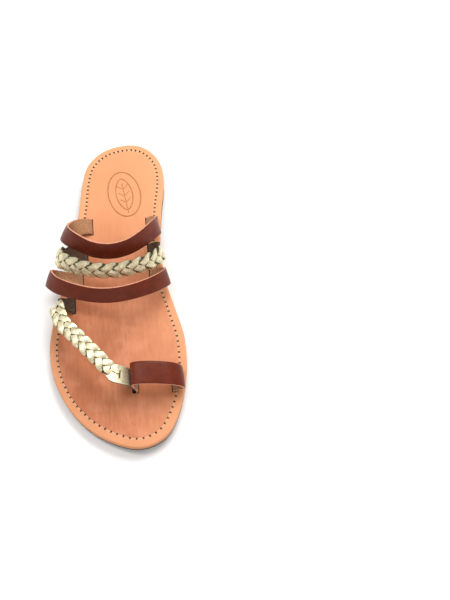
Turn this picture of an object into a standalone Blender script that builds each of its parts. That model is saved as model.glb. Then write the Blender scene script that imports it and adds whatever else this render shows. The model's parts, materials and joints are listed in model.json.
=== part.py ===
"""A right-foot leather toe-loop sandal: layered sole, five straps held in slots, sewn round the edge.

Metres, +Z up. The toe points to -Y, the heel to +Y, and the inner (big toe) side is +X.
The origin is on the ground, under the middle of the sandal.
The sole is cut across along the line where it bends, so the forefoot can lift about FlexAxis.
"""

import math

import bmesh
import bpy
from mathutils import Matrix, Vector

MM = 0.001
GAP = 0.3 * MM  # clearance kept between touching pieces
WELD_DISTANCE = 0.01 * MM
PLANE_DISTANCE = 0.001 * MM  # a point this near a cutting plane lies on it

# Sole layers, from the ground up
OUTSOLE_THICK = 2.0 * MM
MIDSOLE_THICK = 3.4 * MM
INSOLE_THICK = 3.0 * MM
MIDSOLE_BOTTOM = OUTSOLE_THICK + GAP
INSOLE_BOTTOM = MIDSOLE_BOTTOM + MIDSOLE_THICK + GAP
INSOLE_TOP = INSOLE_BOTTOM + INSOLE_THICK
OUTSOLE_INSET = 0.4 * MM
MIDSOLE_INSET = 0.2 * MM

# Height of the sole along its length
LIFT_THICK = 4.0 * MM
LIFT_FRONT_Y = 50 * MM
HEEL_RISE = LIFT_THICK + GAP
RISE_START_Y = 10 * MM
TOE_SPRING = 2.0 * MM
TOE_SPRING_Y = -90 * MM
TOE_END_Y = -124 * MM
STATION_STEP = 8 * MM

# Where the sole bends
FLEX_Y = -10.5 * MM  # on the middle line
FLEX_SKEW = math.radians(20.7)  # the inner end lies further forward
FLEX_POINT = Vector((0, FLEX_Y, INSOLE_TOP + GAP))
FLEX_FORWARD = Vector((-math.sin(FLEX_SKEW), -math.cos(FLEX_SKEW), 0))  # level, square to the bend line

# Straps
STRAP_THICK = 1.8 * MM
TAIL_LENGTH = 12 * MM
TAIL_BEND = 1.35 * MM  # radius of the middle of a strap where it turns under the insole
TAIL_BEND_STEPS = 4
TAIL_DEPTH = INSOLE_THICK + GAP + STRAP_THICK / 2  # middle of a tail, below the insole's top
COLLAR_HEIGHT = 0.4 * MM  # a strap leaves its slot upright up to here
BAND_WIDTH = 12.5 * MM
INSTEP_PLAIT_WIDTH = 13.5 * MM
DIAGONAL_PLAIT_WIDTH = 13.8 * MM
TOE_BAND_WIDTH = 17 * MM
ARCH_STEP = 5.0 * MM  # length of one facet of a strap above the sole

# Slots of each strap: x and y in millimetres, the way the tail turns under the insole, and its slant
REAR_BAND_SLOTS = ((-15, 54, 1, 0), (28.5, 52, -1, 0))
INSTEP_PLAIT_SLOTS = ((-20, 30.5, 1, 0), (28.5, 29.5, -1, 0))
FRONT_BAND_SLOTS = ((-24.5, 9.5, 1, 0), (28.5, 9.5, -1, 0))
DIAGONAL_PLAIT_SLOTS = ((-31.5, -8, 1, -math.tan(FLEX_SKEW)), (10.5, -73, -1, 0))
TOE_BAND_SLOTS = ((12.6, -73, 1, 0), (39.8, -74.5, -1, 0))
SLOT_WIDTH = STRAP_THICK + 2 * GAP
SLOT_STEPS = 4  # cuts along a slot, which follow the sole's height

# Stitching
STITCH_INSET = 5.4 * MM
THREAD_RADIUS = 0.4 * MM
CHANNEL_RADIUS = THREAD_RADIUS + GAP
THREAD_END_GAP = 1.2 * MM  # from the bend line

# Edge of the insole seen from above, clockwise from the back of the heel, in millimetres
SOLE_EDGE = (
    (16, 124), (30, 120.5), (40.5, 108.5), (43.6, 90), (39.8, 62), (37.6, 33), (39.5, 7), (45, -16.5),
    (50.5, -41.5), (50, -70.5), (43, -98.5), (31, -117.5), (10, -124), (-16, -113.5), (-35, -95),
    (-47, -71), (-51, -46.5), (-48, -23.5), (-40, 5.5), (-31, 37), (-24, 69), (-20.5, 91.5),
    (-15, 108.5), (-2, 120),
)
EDGE_STEPS = 4  # points made between two of those

TAN = (0.68, 0.36, 0.18, 1.0)
BROWN = (0.16, 0.035, 0.02, 1.0)
GOLD = (0.76, 0.70, 0.46, 1.0)
BLACK = (0.03, 0.027, 0.025, 1.0)
CREAM = (0.82, 0.72, 0.55, 1.0)


def clear_scene():
    for obj in list(bpy.data.objects):
        bpy.data.objects.remove(obj, do_unlink=True)


def new_collection(name):
    collection = bpy.data.collections.new(name)
    bpy.context.scene.collection.children.link(collection)
    return collection


def new_material(name, colour, roughness, metallic=0.0):
    material = bpy.data.materials.new(name)
    material.use_nodes = True
    shader = material.node_tree.nodes["Principled BSDF"]
    shader.inputs["Base Color"].default_value = colour
    shader.inputs["Roughness"].default_value = roughness
    shader.inputs["Metallic"].default_value = metallic
    material.diffuse_color = colour
    return material


def sole_rise(y):
    """How far the sole is lifted at y: by the heel lift behind, and by the toe spring in front."""
    if y < TOE_SPRING_Y:
        return TOE_SPRING * ((y - TOE_SPRING_Y) / (TOE_END_Y - TOE_SPRING_Y)) ** 2
    share = min(1.0, max(0.0, (y - RISE_START_Y) / (LIFT_FRONT_Y - RISE_START_Y)))
    return HEEL_RISE * share * share * (3 - 2 * share)


def smooth_between(before, start, end, after, share):
    """Catmull-Rom point between start and end."""
    return 0.5 * (
        2 * start
        + (end - before) * share
        + (2 * before - 5 * start + 4 * end - after) * share**2
        + (3 * start - before - 3 * end + after) * share**3
    )


def edge_points(inset):
    """The sole's edge as a closed run of points, moved in by inset."""
    corners = [Vector((x * MM, y * MM)) for x, y in SOLE_EDGE]
    count = len(corners)
    run = []
    for i in range(count):
        near = [corners[(i + k) % count] for k in (-1, 0, 1, 2)]
        run += [smooth_between(*near, step / EDGE_STEPS) for step in range(EDGE_STEPS)]
    moved = []
    for i, point in enumerate(run):
        along = (run[(i + 1) % len(run)] - run[i - 1]).normalized()
        moved.append(point + inset * Vector((along.y, -along.x)))
    return moved


def mesh_from_curve(curve_obj, name):
    """The curve object as a mesh object with its caps welded; the curve is removed."""
    bpy.context.view_layer.update()
    graph = bpy.context.evaluated_depsgraph_get()
    mesh = bpy.data.meshes.new_from_object(curve_obj.evaluated_get(graph))
    mesh.name = name
    bm = bmesh.new()
    bm.from_mesh(mesh)
    bmesh.ops.remove_doubles(bm, verts=bm.verts, dist=WELD_DISTANCE)
    bmesh.ops.recalc_face_normals(bm, faces=bm.faces)
    bm.to_mesh(mesh)
    bm.free()
    obj = bpy.data.objects.new(name, mesh)
    obj.matrix_world = curve_obj.matrix_world
    bpy.data.objects.remove(curve_obj, do_unlink=True)
    return obj


def poly_curve(name, points, dimensions, closed):
    data = bpy.data.curves.new(name, "CURVE")
    data.dimensions = dimensions
    spline = data.splines.new("POLY")
    spline.points.add(len(points) - 1)
    for place, point in zip(spline.points, points):
        place.co = (*point, *(0.0,) * (3 - len(point)), 1.0)
    spline.use_cyclic_u = closed
    obj = bpy.data.objects.new(name, data)
    bpy.context.scene.collection.objects.link(obj)
    return obj


def bisect(bm, place, normal, drop=False):
    """Cuts all of a mesh by a plane; drop takes away what lies on the side that normal points to."""
    return bmesh.ops.bisect_plane(
        bm, geom=bm.verts[:] + bm.edges[:] + bm.faces[:], plane_co=place, plane_no=normal,
        clear_outer=drop, dist=PLANE_DISTANCE,
    )["geom_cut"]


def drop_side(bm, place, away):
    """Drops what lies past a plane, on the side that away points to, and closes the cut."""
    rim = [item for item in bisect(bm, place, away, True) if isinstance(item, bmesh.types.BMEdge)]
    bmesh.ops.holes_fill(bm, edges=rim)


def sole_slab(name, bottom, thickness, inset, side):
    """One layer of the sole, bent to the sole's height.

    side +1 is the part ahead of the bend line, -1 the part behind it, and 0 the whole layer.
    """
    outline = poly_curve(name + "_outline", edge_points(inset), "2D", True)
    outline.data.fill_mode = "BOTH"
    outline.data.extrude = thickness / 2
    outline.location.z = bottom + thickness / 2
    obj = mesh_from_curve(outline, name)
    bm = bmesh.new()
    bm.from_mesh(obj.data)
    bm.transform(obj.matrix_world)
    obj.matrix_world = Matrix.Identity(4)
    if side:
        drop_side(bm, FLEX_POINT + FLEX_FORWARD * side * GAP / 2, -side * FLEX_FORWARD)
    y = TOE_END_Y + STATION_STEP / 2
    while y < LIFT_FRONT_Y + STATION_STEP:
        bisect(bm, (0, y, 0), (0, 1, 0))
        y += STATION_STEP
    for vert in bm.verts:
        vert.co.z += sole_rise(vert.co.y)
    bmesh.ops.recalc_face_normals(bm, faces=bm.faces)
    bmesh.ops.triangulate(bm, faces=bm.faces)
    bm.to_mesh(obj.data)
    bm.free()
    return obj


def add_box(name, low, high):
    """A box from its lowest to its highest corner."""
    bm = bmesh.new()
    bmesh.ops.create_cube(bm, size=1.0)
    for vert in bm.verts:
        vert.co = Vector(high[k] if vert.co[k] > 0 else low[k] for k in range(3))
    mesh = bpy.data.meshes.new(name)
    bm.to_mesh(mesh)
    bm.free()
    return bpy.data.objects.new(name, mesh)


def place_part(obj, body, material):
    parts.objects.link(obj)
    obj.parent = body
    obj.matrix_parent_inverse = body.matrix_world.inverted()
    obj.data.materials.clear()
    obj.data.materials.append(material)
    return obj


def place_cutter(obj):
    cutters.objects.link(obj)
    obj.hide_render = True
    obj.display_type = "WIRE"
    return obj


def cut(obj, cutter):
    modifier = obj.modifiers.new("Cut " + cutter.name, "BOOLEAN")
    modifier.operation = "DIFFERENCE"
    modifier.solver = "EXACT"
    modifier.object = cutter


def cut_slot(name, x, y, strap_width, width, tails, slant, ending):
    """Cuts one strap slot through the insole, and the midsole's pocket for the strap's tails.

    tails gives the ways that the tails turn under the insole: (-1,), (1,) or both.
    """
    length = strap_width + 2 * GAP
    half = length / 2
    slot = add_box(
        name + "_slot",
        (x - width / 2, y - half, INSOLE_BOTTOM - GAP / 2),
        (x + width / 2, y + half, INSOLE_TOP + HEEL_RISE + GAP),
    )
    floor = INSOLE_TOP - TAIL_DEPTH - STRAP_THICK / 2 - GAP
    reach = TAIL_LENGTH + GAP
    low_x = x - width / 2 - (reach if -1 in tails else 0)
    high_x = x + width / 2 + (reach if 1 in tails else 0)
    pocket = add_box(name + "_pocket", (low_x, y - half, floor), (high_x, y + half, INSOLE_BOTTOM))
    for cutter in (slot, pocket):
        bm = bmesh.new()
        bm.from_mesh(cutter.data)
        for step in range(1, SLOT_STEPS):
            bisect(bm, (0, y - half + length * step / SLOT_STEPS, 0), (0, 1, 0))
        for vert in bm.verts:
            if cutter is pocket:
                vert.co.y += slant * (vert.co.x - x)
            if cutter is pocket or vert.co.z < INSOLE_TOP:
                vert.co.z += sole_rise(vert.co.y)
        bmesh.ops.triangulate(bm, faces=bm.faces)
        bm.to_mesh(cutter.data)
        bm.free()
    cut(halves[f"insole_{ending}"], place_cutter(slot))
    cut(halves[f"midsole_{ending}"], place_cutter(pocket))


def tail_route(slot):
    """Stations of a strap's end, from the tip of the tail up through its slot."""
    x, y, turn, slant = slot
    stations = [(turn * TAIL_LENGTH, -TAIL_DEPTH), (turn * TAIL_LENGTH / 2, -TAIL_DEPTH)]
    for step in range(TAIL_BEND_STEPS + 1):
        angle = math.pi / 2 * step / TAIL_BEND_STEPS
        out = turn * TAIL_BEND * (1 - math.sin(angle))
        stations.append((out, TAIL_BEND * (1 - math.cos(angle)) - TAIL_DEPTH))
    stations.append((0, COLLAR_HEIGHT))
    return [(Vector((x * MM + out, y * MM + slant * out, z)), Vector((0, -1, 0))) for out, z in stations]


def strap(name, width, start, arch, end, body, material):
    """A strap bent along its route: start and end are its slots, and arch its stations.

    An arch station is (x, y, z) of the strap's middle line, z above the insole's top, and (x, y, z)
    of the direction across the strap, from its rear edge to its front edge. The strap is a flat
    strip laid along the route, then thickened.
    """
    first = tail_route(start)
    last = tail_route(end)
    middle = [(Vector(p) * MM, Vector(w).normalized()) for p, w in arch]
    run = []
    for i in range(len(middle) + 1):
        known = [first[-1]] + middle + [last[-1]]
        near = [known[max(0, i - 1)], known[i], known[i + 1], known[min(len(known) - 1, i + 2)]]
        steps = max(2, round((near[2][0] - near[1][0]).length / ARCH_STEP))
        for step in range(0 if i else 1, steps):
            point = smooth_between(*(n[0] for n in near), step / steps)
            across = smooth_between(*(n[1] for n in near), step / steps)
            run.append((point, across.normalized()))
    squared = []
    for i, (point, across) in enumerate(run):
        along = (run[min(i + 1, len(run) - 1)][0] - run[max(i - 1, 0)][0]).normalized()
        squared.append((point, (across - across.dot(along) * along).normalized()))
    run = first + squared + last[::-1]

    bm = bmesh.new()
    bmesh.ops.create_grid(bm, x_segments=len(run) - 1, y_segments=1, size=0.5)
    for vert in bm.verts:
        index = round((vert.co.x + 0.5) * (len(run) - 1))
        point, across = run[index]
        spot = point + across * (width if vert.co.y > 0 else -width) / 2
        spot.z += INSOLE_TOP + sole_rise(spot.y)
        vert.co = spot
    mesh = bpy.data.meshes.new(name)
    bm.to_mesh(mesh)
    bm.free()
    obj = bpy.data.objects.new(name, mesh)
    thicken = obj.modifiers.new("Leather thickness", "SOLIDIFY")
    thicken.thickness = STRAP_THICK
    thicken.offset = 0.0
    thicken.use_even_offset = False
    return place_part(obj, body, material)


def stitch_tube(name, side, height, radius):
    """A tube along the stitch line, on one side of the bend line."""
    points = []
    for point in edge_points(STITCH_INSET):
        spot = Vector((point.x, point.y, height + sole_rise(point.y)))
        if (spot - FLEX_POINT).dot(FLEX_FORWARD) * side > THREAD_END_GAP:
            points.append(spot)
    # The kept points are one open run that may wrap past the first one
    gaps = [(points[i] - points[i - 1]).length for i in range(len(points))]
    widest = gaps.index(max(gaps))
    points = points[widest:] + points[:widest]
    curve = poly_curve(name + "_line", points, "3D", False)
    curve.data.bevel_depth = radius
    curve.data.bevel_resolution = 1
    curve.data.use_fill_caps = True
    return mesh_from_curve(curve, name)


clear_scene()
parts = new_collection("toe_loop_sandal")
cutters = new_collection("cutters")

rear = bpy.data.objects.new("Rear", None)
parts.objects.link(rear)
fore = bpy.data.objects.new("FlexAxis", None)
fore.location = FLEX_POINT
fore.rotation_euler.z = -FLEX_SKEW
parts.objects.link(fore)
bpy.context.view_layer.update()

tan_leather = new_material("Tan sole leather", TAN, 0.55)
brown_leather = new_material("Brown strap leather", BROWN, 0.4)
gold_leather = new_material("Gold strap leather", GOLD, 0.35, 0.5)
sole_rubber = new_material("Sole rubber", BLACK, 0.8)
waxed_thread = new_material("Waxed thread", CREAM, 0.6)

rear_band = strap(
    "rear_band", BAND_WIDTH, REAR_BAND_SLOTS[0],
    (
        ((-17, 54, 2.4), (0, -1, 0)),
        ((-23, 53, 4.2), (-0.2, -1, -0.1)),
        ((-30, 50, 7), (-0.45, -0.85, -0.3)),
        ((-34.5, 46, 13), (-0.5, -0.7, -0.45)),
        ((-32.5, 39, 21), (-0.4, -0.65, -0.6)),
        ((-25, 31, 27.5), (-0.2, -0.65, -0.7)),
        ((-13, 23, 31), (-0.05, -0.62, -0.78)),
        ((0, 20, 32), (0, -0.6, -0.8)),
        ((13, 22.5, 31), (0.05, -0.62, -0.78)),
        ((24, 30, 26.5), (0.15, -0.65, -0.7)),
        ((32, 39, 19), (0.25, -0.7, -0.6)),
        ((36, 46, 11), (0.3, -0.8, -0.5)),
        ((35.5, 50, 5.6), (0.15, -0.95, -0.15)),
        ((31, 52, 2.9), (0, -1, 0)),
    ),
    REAR_BAND_SLOTS[1], rear, brown_leather,
)
instep_plait = strap(
    "instep_plait", INSTEP_PLAIT_WIDTH, INSTEP_PLAIT_SLOTS[0],
    (
        ((-22.5, 30, 2.6), (0, -1, 0)),
        ((-31, 30, 5), (-0.2, -1, -0.1)),
        ((-38, 29, 9), (-0.35, -0.85, -0.35)),
        ((-40, 25.5, 15.5), (-0.35, -0.7, -0.5)),
        ((-35.5, 18.5, 23), (-0.25, -0.65, -0.65)),
        ((-25, 11, 29.5), (-0.12, -0.62, -0.75)),
        ((-12, 5.5, 32.5), (0, -0.6, -0.8)),
        ((1, 4, 33), (0, -0.6, -0.8)),
        ((14, 5.5, 32), (0.05, -0.62, -0.78)),
        ((26, 10.5, 27.5), (0.12, -0.66, -0.7)),
        ((34.5, 17.5, 20), (0.2, -0.7, -0.6)),
        ((38, 24, 12), (0.25, -0.82, -0.45)),
        ((36.5, 28, 6), (0.12, -0.95, -0.2)),
        ((31, 29.5, 3), (0, -1, 0)),
    ),
    INSTEP_PLAIT_SLOTS[1], rear, gold_leather,
)
front_band = strap(
    "front_band", BAND_WIDTH, FRONT_BAND_SLOTS[0],
    (
        ((-27, 9.5, 2.4), (0, -1, 0)),
        ((-37, 11, 5), (-0.2, -1, -0.1)),
        ((-46.5, 11.5, 10), (-0.35, -0.85, -0.35)),
        ((-47.7, 8, 16.5), (-0.35, -0.75, -0.5)),
        ((-41.5, -0.5, 23.5), (-0.25, -0.68, -0.62)),
        ((-29, -8.3, 29), (-0.12, -0.64, -0.75)),
        ((-14, -13.5, 31), (0, -0.6, -0.8)),
        ((0, -15, 31.5), (0, -0.6, -0.8)),
        ((14, -13, 30.5), (0.05, -0.62, -0.78)),
        ((27, -8, 26.5), (0.12, -0.66, -0.7)),
        ((37, -1, 19.5), (0.2, -0.7, -0.6)),
        ((41, 5, 12), (0.25, -0.82, -0.45)),
        ((38, 8.5, 5.5), (0.12, -0.95, -0.2)),
        ((31.5, 9.5, 2.4), (0, -1, 0)),
    ),
    FRONT_BAND_SLOTS[1], rear, brown_leather,
)
diagonal_plait = strap(
    "diagonal_plait", DIAGONAL_PLAIT_WIDTH, DIAGONAL_PLAIT_SLOTS[0],
    (
        ((-34, -8.5, 2.8), (0, -1, 0)),
        ((-41, -10, 5.5), (-0.35, -0.95, 0)),
        ((-43, -12.5, 10), (-0.8, -0.6, -0.1)),
        ((-42, -19.8, 13), (-0.86, -0.47, -0.08)),
        ((-38.5, -29, 16.2), (-0.83, -0.52, -0.1)),
        ((-31, -39, 20.5), (-0.78, -0.6, -0.15)),
        ((-22, -50.3, 23), (-0.76, -0.64, -0.05)),
        ((-12, -62.2, 23.5), (-0.72, -0.69, 0)),
        ((-6.5, -68.8, 22.8), (-0.5, -0.85, 0)),
        ((-1.5, -72.8, 22.2), (-0.25, -0.97, 0)),
        ((3.4, -73.8, 19.4), (-0.08, -1, 0)),
        ((7.3, -73.6, 13.6), (0, -1, 0)),
        ((9.8, -73, 6.4), (0, -1, 0)),
    ),
    DIAGONAL_PLAIT_SLOTS[1], fore, gold_leather,
)
toe_band = strap(
    "toe_band", TOE_BAND_WIDTH, TOE_BAND_SLOTS[0],
    (
        ((12.3, -73, 6.4), (0, -1, 0)),
        ((10.4, -73, 13), (0, -1, 0)),
        ((10.6, -73, 18.4), (0, -1, -0.05)),
        ((17, -73.2, 20.6), (0, -1, -0.1)),
        ((28, -73.9, 20.2), (0.03, -1, -0.12)),
        ((39, -74.6, 17), (0.08, -1, -0.12)),
        ((45.6, -75, 11.5), (0.1, -1, -0.1)),
        ((46.8, -75, 6), (0.05, -1, 0)),
        ((43, -74.7, 3.1), (0, -1, 0)),
    ),
    TOE_BAND_SLOTS[1], fore, brown_leather,
)

layers = (
    ("outsole", 0.0, OUTSOLE_THICK, OUTSOLE_INSET, sole_rubber),
    ("midsole", MIDSOLE_BOTTOM, MIDSOLE_THICK, MIDSOLE_INSET, tan_leather),
    ("insole", INSOLE_BOTTOM, INSOLE_THICK, 0.0, tan_leather),
)
halves = {}
for layer, bottom, thickness, inset, material in layers:
    for ending, side, body in (("rear", -1, rear), ("fore", 1, fore)):
        half = sole_slab(f"{layer}_{ending}", bottom, thickness, inset, side)
        halves[half.name] = place_part(half, body, material)

for name, ends, width, ending in (
    ("rear_band", REAR_BAND_SLOTS, BAND_WIDTH, "rear"),
    ("instep_plait", INSTEP_PLAIT_SLOTS, INSTEP_PLAIT_WIDTH, "rear"),
    ("front_band", FRONT_BAND_SLOTS, BAND_WIDTH, "rear"),
    ("diagonal_plait", DIAGONAL_PLAIT_SLOTS[:1], DIAGONAL_PLAIT_WIDTH, "fore"),
    ("toe_band", TOE_BAND_SLOTS[1:], TOE_BAND_WIDTH, "fore"),
):
    for x, y, turn, slant in ends:
        cut_slot(f"{name}_{x:.0f}", x * MM, y * MM, width, SLOT_WIDTH, (turn,), slant, ending)

# The diagonal plait and the toe band go down side by side through one slot, and turn apart
plait_x, toe_band_x = DIAGONAL_PLAIT_SLOTS[1][0] * MM, TOE_BAND_SLOTS[0][0] * MM
cut_slot(
    "shared", (plait_x + toe_band_x) / 2, TOE_BAND_SLOTS[0][1] * MM, TOE_BAND_WIDTH,
    toe_band_x - plait_x + SLOT_WIDTH, (-1, 1), 0, "fore",
)

# The two threads of the lockstitch, with a channel under the midsole for the lower one
needle_height = INSOLE_TOP + GAP + THREAD_RADIUS
bobbin_height = MIDSOLE_BOTTOM + THREAD_RADIUS
for ending, side, body in (("rear", -1, rear), ("fore", 1, fore)):
    needle = stitch_tube(f"needle_thread_{ending}", side, needle_height, THREAD_RADIUS)
    place_part(needle, body, waxed_thread)
    bobbin = stitch_tube(f"bobbin_thread_{ending}", side, bobbin_height, THREAD_RADIUS)
    place_part(bobbin, body, waxed_thread)
    channel = stitch_tube(f"bobbin_channel_{ending}", side, bobbin_height, CHANNEL_RADIUS)
    cut(halves[f"midsole_{ending}"], place_cutter(channel))

# Heel lift: the sole's outline behind LIFT_FRONT_Y
lift = sole_slab("heel_lift", 0.0, LIFT_THICK, OUTSOLE_INSET, 0)
bm = bmesh.new()
bm.from_mesh(lift.data)
for vert in bm.verts:
    vert.co.z = LIFT_THICK if vert.co.z - sole_rise(vert.co.y) > LIFT_THICK / 2 else 0.0
drop_side(bm, (0, LIFT_FRONT_Y, 0), (0, -1, 0))
bmesh.ops.recalc_face_normals(bm, faces=bm.faces)
bm.to_mesh(lift.data)
bm.free()
place_part(lift, rear, sole_rubber)
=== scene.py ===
import json
import math

import bmesh
import bpy
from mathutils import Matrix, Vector
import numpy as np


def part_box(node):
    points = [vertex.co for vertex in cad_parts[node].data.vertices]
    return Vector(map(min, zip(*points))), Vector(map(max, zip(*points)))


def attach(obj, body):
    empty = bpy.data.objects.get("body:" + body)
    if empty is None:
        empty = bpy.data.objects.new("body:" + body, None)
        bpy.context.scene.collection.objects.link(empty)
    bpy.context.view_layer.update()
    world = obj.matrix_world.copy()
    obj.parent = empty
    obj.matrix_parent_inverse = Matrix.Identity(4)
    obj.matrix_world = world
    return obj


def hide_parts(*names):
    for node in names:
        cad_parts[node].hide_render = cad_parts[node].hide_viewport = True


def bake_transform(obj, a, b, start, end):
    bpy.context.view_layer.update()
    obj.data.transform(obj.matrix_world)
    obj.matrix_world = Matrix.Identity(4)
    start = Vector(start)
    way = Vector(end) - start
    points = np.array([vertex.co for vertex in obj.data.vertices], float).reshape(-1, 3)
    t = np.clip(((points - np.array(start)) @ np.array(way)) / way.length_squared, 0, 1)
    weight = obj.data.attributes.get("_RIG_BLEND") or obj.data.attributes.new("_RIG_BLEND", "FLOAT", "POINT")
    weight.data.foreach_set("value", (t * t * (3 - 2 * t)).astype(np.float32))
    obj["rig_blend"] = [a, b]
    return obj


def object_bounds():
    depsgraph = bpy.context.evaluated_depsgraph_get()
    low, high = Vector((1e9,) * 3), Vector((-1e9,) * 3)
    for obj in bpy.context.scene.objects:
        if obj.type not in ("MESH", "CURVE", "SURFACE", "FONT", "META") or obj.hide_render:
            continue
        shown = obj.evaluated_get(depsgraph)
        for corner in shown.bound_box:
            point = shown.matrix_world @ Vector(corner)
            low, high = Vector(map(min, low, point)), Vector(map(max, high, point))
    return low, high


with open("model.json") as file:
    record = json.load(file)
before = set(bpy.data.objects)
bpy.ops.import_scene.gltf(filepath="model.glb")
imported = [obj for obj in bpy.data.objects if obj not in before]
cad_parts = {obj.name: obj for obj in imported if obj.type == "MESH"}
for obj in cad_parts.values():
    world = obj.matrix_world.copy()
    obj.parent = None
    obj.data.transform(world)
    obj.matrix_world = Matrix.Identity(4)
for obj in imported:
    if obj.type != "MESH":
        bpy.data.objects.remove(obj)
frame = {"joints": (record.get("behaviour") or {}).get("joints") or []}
cadLow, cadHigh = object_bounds()
mm = 0.001

# the joint that bends the sole, and the level way square to its axis, towards the toe
flex = frame["joints"][0]
flexPoint = Vector(flex["pos_m"])
flexForward = Vector((-flex["axis"][1], flex["axis"][0], 0)).normalized()
flexReach = 8 * mm     # the sole bends this far to each side of the axis


# shared tools

def linkNew(name, mesh):
    piece = bpy.data.objects.new(name, mesh)
    bpy.context.scene.collection.objects.link(piece)
    return piece


def meshFrom(bm, name):
    mesh = bpy.data.meshes.new(name)
    bm.to_mesh(mesh)
    bm.free()
    return mesh


def smoothShade(mesh, sharpAngle):
    mesh.shade_smooth()
    mesh.set_sharp_from_angle(angle=math.radians(sharpAngle))


def smoothStep(low, high, value):
    share = min(1.0, max(0.0, (value - low) / (high - low)))
    return share * share * (3 - 2 * share)


def smoothBetween(before, start, end, after, share):     # a point between start and end on a smooth curve
    return 0.5 * (
        2 * start
        + (end - before) * share
        + (2 * before - 5 * start + 4 * end - after) * share**2
        + (3 * start - before - 3 * end + after) * share**3
    )


def bisect(bm, place, normal):
    everything = bm.verts[:] + bm.edges[:] + bm.faces[:]
    bmesh.ops.bisect_plane(bm, geom=everything, plane_co=place, plane_no=normal, dist=0.001 * mm)


def cutAway(piece, cutters):     # cuts closed shapes out of a piece, and removes them
    for cutter in cutters:
        modifier = piece.modifiers.new("Cut", "BOOLEAN")
        modifier.operation = "DIFFERENCE"
        modifier.solver = "EXACT"
        modifier.object = cutter
    bpy.context.view_layer.update()
    graph = bpy.context.evaluated_depsgraph_get()
    mesh = bpy.data.meshes.new_from_object(piece.evaluated_get(graph))
    piece.modifiers.clear()
    piece.data = mesh
    for cutter in cutters:
        bpy.data.objects.remove(cutter, do_unlink=True)


def tubesAlong(name, runs, radius, closed=False, sides=1, look=0):     # round tubes along runs of points
    data = bpy.data.curves.new(name, "CURVE")
    data.dimensions = "3D"
    data.bevel_depth = radius
    data.bevel_resolution = sides
    data.use_fill_caps = not closed
    for run in runs:
        spline = data.splines.new("POLY")
        spline.points.add(len(run) - 1)
        for knot, point in zip(spline.points, run):
            knot.co = (*point, 1.0)
        spline.use_cyclic_u = closed
    piece = linkNew(name, data)
    bpy.context.view_layer.update()
    mesh = bpy.data.meshes.new_from_object(piece.evaluated_get(bpy.context.evaluated_depsgraph_get()))
    bpy.data.objects.remove(piece, do_unlink=True)
    bm = bmesh.new()
    bm.from_mesh(mesh)
    bmesh.ops.remove_doubles(bm, verts=bm.verts, dist=0.001 * mm)
    bmesh.ops.recalc_face_normals(bm, faces=bm.faces)
    for face in bm.faces:
        face.material_index = look
    return linkNew(name, meshFrom(bm, name))


# materials

class Finish:     # a material's node tree, built up one node at a time
    def __init__(self, name, roughness, metallic=0.0, specular=0.5):
        self.material = bpy.data.materials.new(name)
        self.material.use_nodes = True
        self.tree = self.material.node_tree
        self.shader = self.tree.nodes["Principled BSDF"]
        self.shader.inputs["Roughness"].default_value = roughness
        self.shader.inputs["Metallic"].default_value = metallic
        self.shader.inputs["Specular IOR Level"].default_value = specular
        self.normal = None

    def node(self, kind, values=None, **settings):
        made = self.tree.nodes.new(kind)
        for key, value in settings.items():
            setattr(made, key, value)
        for key, value in (values or {}).items():
            if isinstance(value, bpy.types.NodeSocket):
                self.tree.links.new(value, made.inputs[key])
            else:
                made.inputs[key].default_value = value
        return made

    def place(self, scale=(1, 1, 1), source="Object", turn=0):
        if source == "Object":
            start = self.node("ShaderNodeTexCoord").outputs["Object"]
        else:
            start = self.node("ShaderNodeUVMap", uv_map=source).outputs["UV"]
        return self.node(
            "ShaderNodeMapping", {"Vector": start, "Scale": scale, "Rotation": (0, 0, turn)}
        ).outputs["Vector"]

    def noise(self, place, scale, detail=3.0, rough=0.55, warp=0.0):
        return self.node(
            "ShaderNodeTexNoise",
            {"Vector": place, "Scale": scale, "Detail": detail, "Roughness": rough, "Distortion": warp},
        ).outputs["Fac"]

    def cells(self, place, scale, feature="F1", spread=1.0):
        inputs = {"Vector": place, "Scale": scale, "Randomness": spread}
        return self.node("ShaderNodeTexVoronoi", inputs, feature=feature).outputs["Distance"]

    def ramp(self, factor, low, high, start=0.0, end=1.0):     # factor low..high gives start..end
        return self.node(
            "ShaderNodeMapRange",
            {"Value": factor, "From Min": low, "From Max": high, "To Min": start, "To Max": end},
        ).outputs["Result"]

    def mix(self, factor, first, second):
        made = self.node("ShaderNodeMix", data_type="RGBA", blend_type="MIX")
        for key, value in ((0, factor), (6, first), (7, second)):
            if isinstance(value, bpy.types.NodeSocket):
                self.tree.links.new(value, made.inputs[key])
            else:
                made.inputs[key].default_value = value
        return made.outputs[2]

    def sum(self, first, second, kind="ADD"):
        return self.node("ShaderNodeMath", {0: first, 1: second}, operation=kind).outputs["Value"]

    def bump(self, height, depth, strength=1.0):
        values = {"Height": height, "Distance": depth, "Strength": strength}
        if self.normal:
            values["Normal"] = self.normal
        self.normal = self.node("ShaderNodeBump", values).outputs["Normal"]

    def finish(self, colour, roughness=None):
        self.tree.links.new(colour, self.shader.inputs["Base Color"])
        if roughness:
            self.tree.links.new(roughness, self.shader.inputs["Roughness"])
        if self.normal:
            self.tree.links.new(self.normal, self.shader.inputs["Normal"])
        return self.material


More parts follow.
